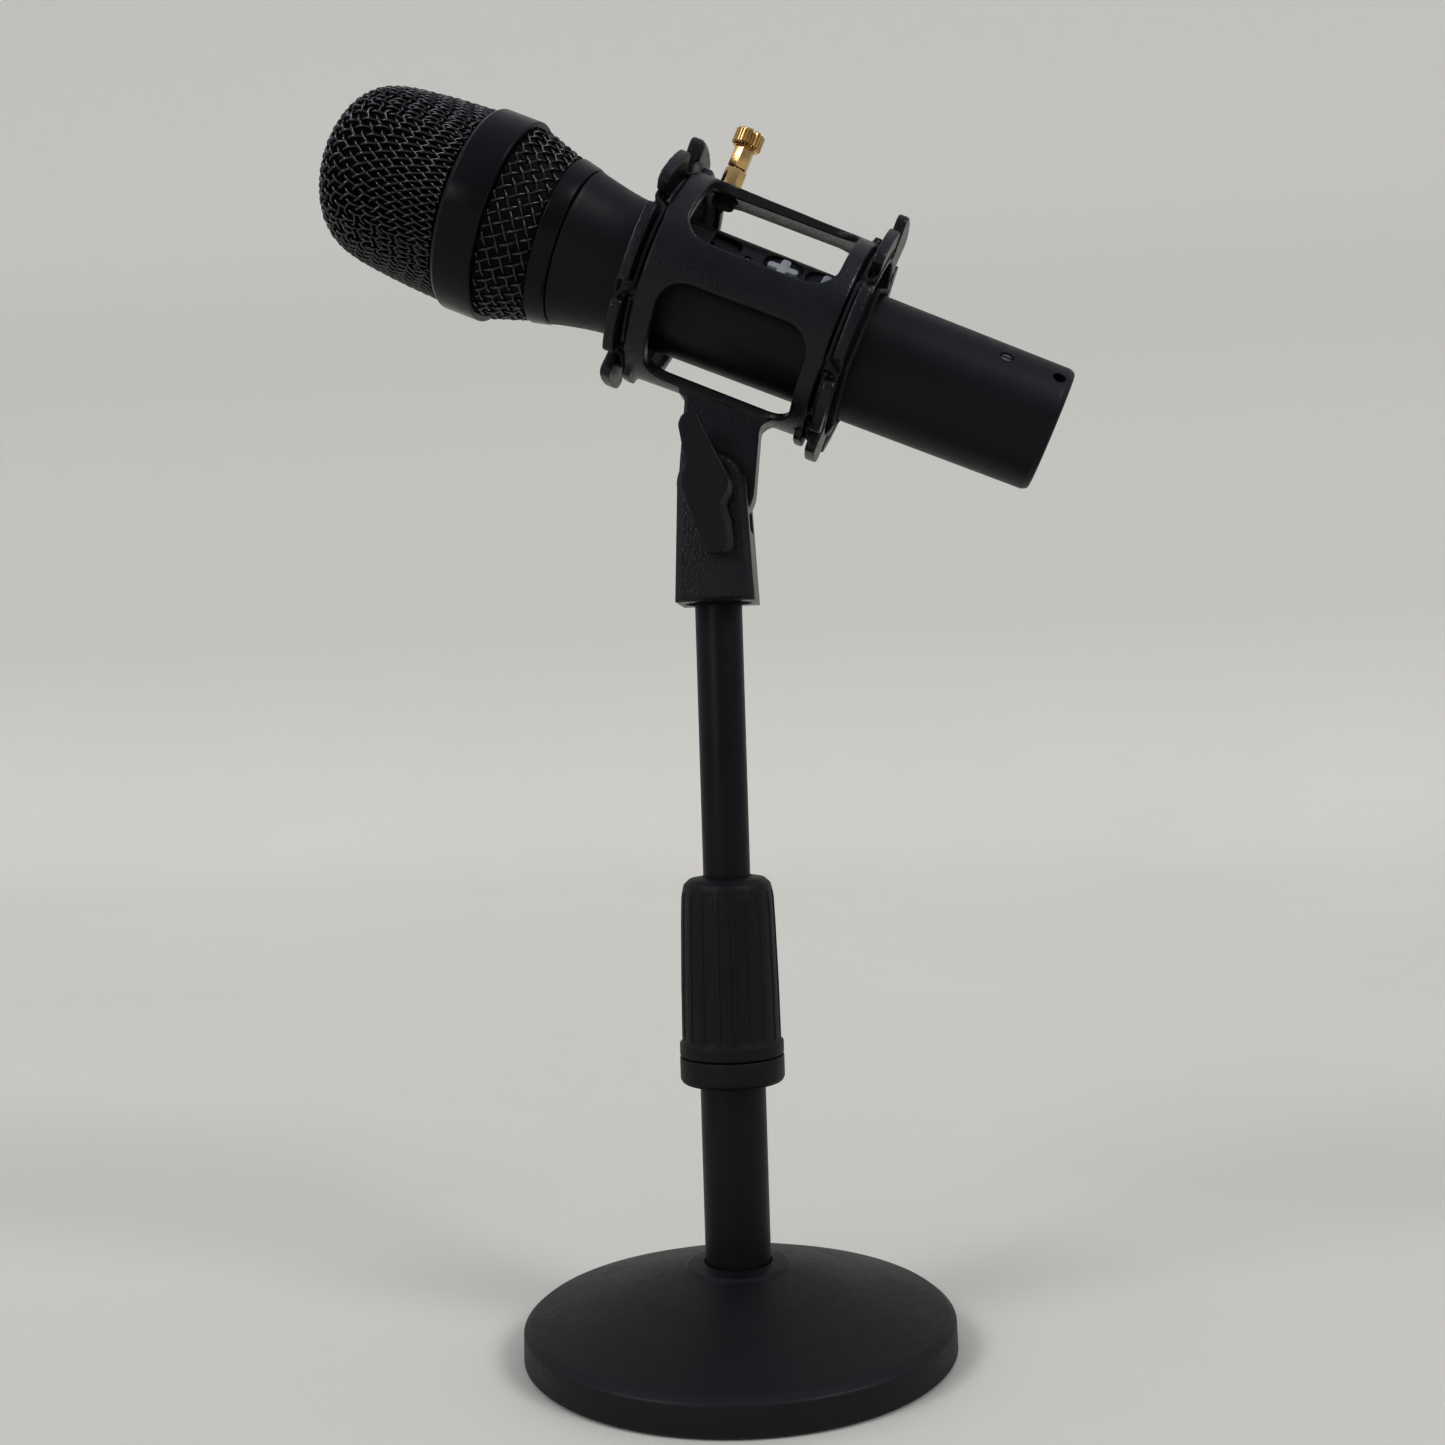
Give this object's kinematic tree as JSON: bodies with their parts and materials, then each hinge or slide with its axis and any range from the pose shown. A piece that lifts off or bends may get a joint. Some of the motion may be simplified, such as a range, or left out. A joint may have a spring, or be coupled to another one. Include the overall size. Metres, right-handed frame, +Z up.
{
  "type": "desktop microphone",
  "caption": "Handheld-style microphone held in a windowed elastic cage mount, tilting on a clip atop a telescopic mast with a twist-lock grip and round weighted base.",
  "frame": {"origin": "centre of the underside of the base pad, on the mast axis", "axes": "+Z up the mast; the microphone's axis lies in the XZ plane with its basket towards -X and its tail towards +X; the wing knob and control strip face -Y"},
  "size_m": [0.2177, 0.125, 0.3711],
  "materials": {
    "satin_black_metal": "satin black paint",
    "grip_plastic": "matte",
    "cage_plastic": "fine moulded texture",
    "inner_plastic": "moulded",
    "black_rubber": "matte",
    "elastic": "braided",
    "brass": "machined, knurled",
    "plated_steel": "zinc plated",
    "mic_paint": "satin charcoal paint",
    "mesh_paint": "gloss black painted wire mesh",
    "foam": "open-cell foam",
    "capsule_metal": "satin",
    "board": "solder-masked",
    "transformer_iron": "laminated",
    "glyph_grey": "satin light grey",
    "switch_plastic": "pebbled",
    "led_plastic": "frosted",
    "insert_plastic": "moulded",
    "pin_plating": "silver plated"
  },
  "bodies": {
    "base": {"base_pad": "black_rubber", "base_casting": "satin_black_metal", "base_washer": "plated_steel", "base_nut": "plated_steel", "lower_tube": "satin_black_metal", "clutch_ring": "grip_plastic", "split_collet": "inner_plastic"},
    "grip": {"clutch_grip": "grip_plastic"},
    "mast_guide": {"mast_end_bush": "inner_plastic"},
    "mast": {"upper_tube": "satin_black_metal", "clip_insert": "brass", "clip_body": "cage_plastic", "pivot_bolt": "plated_steel", "pivot_washer": "satin_black_metal"},
    "wing": {"wing_knob": "cage_plastic"},
    "head": {"cage": "cage_plastic", "front_elastic": "elastic", "rear_elastic": "elastic", "front_sling": "elastic", "rear_sling": "elastic", "screw_insert": "brass"},
    "thumbscrew": {"clamp_screw": "brass", "screw_pad": "black_rubber"},
    "mic": {"basket_front": "mesh_paint", "basket_foam": "foam", "basket_band": "mic_paint", "basket_rear": "mesh_paint", "capsule_mount": "black_rubber", "capsule": "capsule_metal", "neck_ring": "mic_paint", "barrel": "mic_paint", "led_lens": "led_plastic", "set_screw": "plated_steel", "circuit_board": "board", "audio_transformer": "transformer_iron", "tail_insert": "insert_plastic", "xlr_pin_1": "pin_plating", "xlr_pin_2": "pin_plating", "xlr_pin_3": "pin_plating", "usb_port": "plated_steel", "headphone_jack": "plated_steel"},
    "mute_switch": {"switch_knob": "switch_plastic"},
    "vol_up": {"plus_button": "glyph_grey"},
    "vol_down": {"minus_button": "glyph_grey"}
  },
  "joints": [
    {"name": "grip_twist", "type": "hinge", "parent": "base", "child": "grip", "pos_m": [0, 0, 0.11], "axis": [0, 0, 1], "range_deg": [0, 120]},
    {"name": "mast_slide", "type": "slide", "parent": "base", "child": "mast_guide", "axis": [0, 0, 1], "range_m": [-0.074, 0.0065]},
    {"name": "mast_pan", "type": "hinge", "parent": "mast_guide", "child": "mast", "pos_m": [0, 0, 0.1], "axis": [0, 0, 1], "continuous": true},
    {"name": "wing_turn", "type": "hinge", "parent": "mast", "child": "wing", "pos_m": [0, 0, 0.2492], "axis": [0, -1, 0], "continuous": true},
    {"name": "head_tilt", "type": "hinge", "parent": "mast", "child": "head", "pos_m": [0, 0, 0.2492], "axis": [0, 1, 0], "range_deg": [-60, 60]},
    {"name": "thumbscrew_turn", "type": "hinge", "parent": "head", "child": "thumbscrew", "pos_m": [0.00596, 0, 0.33467], "axis": [0.4059, 0, 0.9139], "continuous": true},
    {"name": "mic_slide", "type": "slide", "parent": "head", "child": "mic", "axis": [-0.9139, 0, 0.4059], "range_m": [0, 0.125]},
    {"name": "mute_slide", "type": "slide", "parent": "mic", "child": "mute_switch", "axis": [0.9139, 0, -0.4059], "range_m": [0, 0.0038]},
    {"name": "volume_up_press", "type": "slide", "parent": "mic", "child": "vol_up", "axis": [-0.287, 0.7071, -0.6462], "range_m": [0, 0.0006], "stiffness_N_per_m": 800, "springref_m": -0.0004},
    {"name": "volume_down_press", "type": "slide", "parent": "mic", "child": "vol_down", "axis": [-0.287, 0.7071, -0.6462], "range_m": [0, 0.0006], "stiffness_N_per_m": 800, "springref_m": -0.0004}
  ]
}
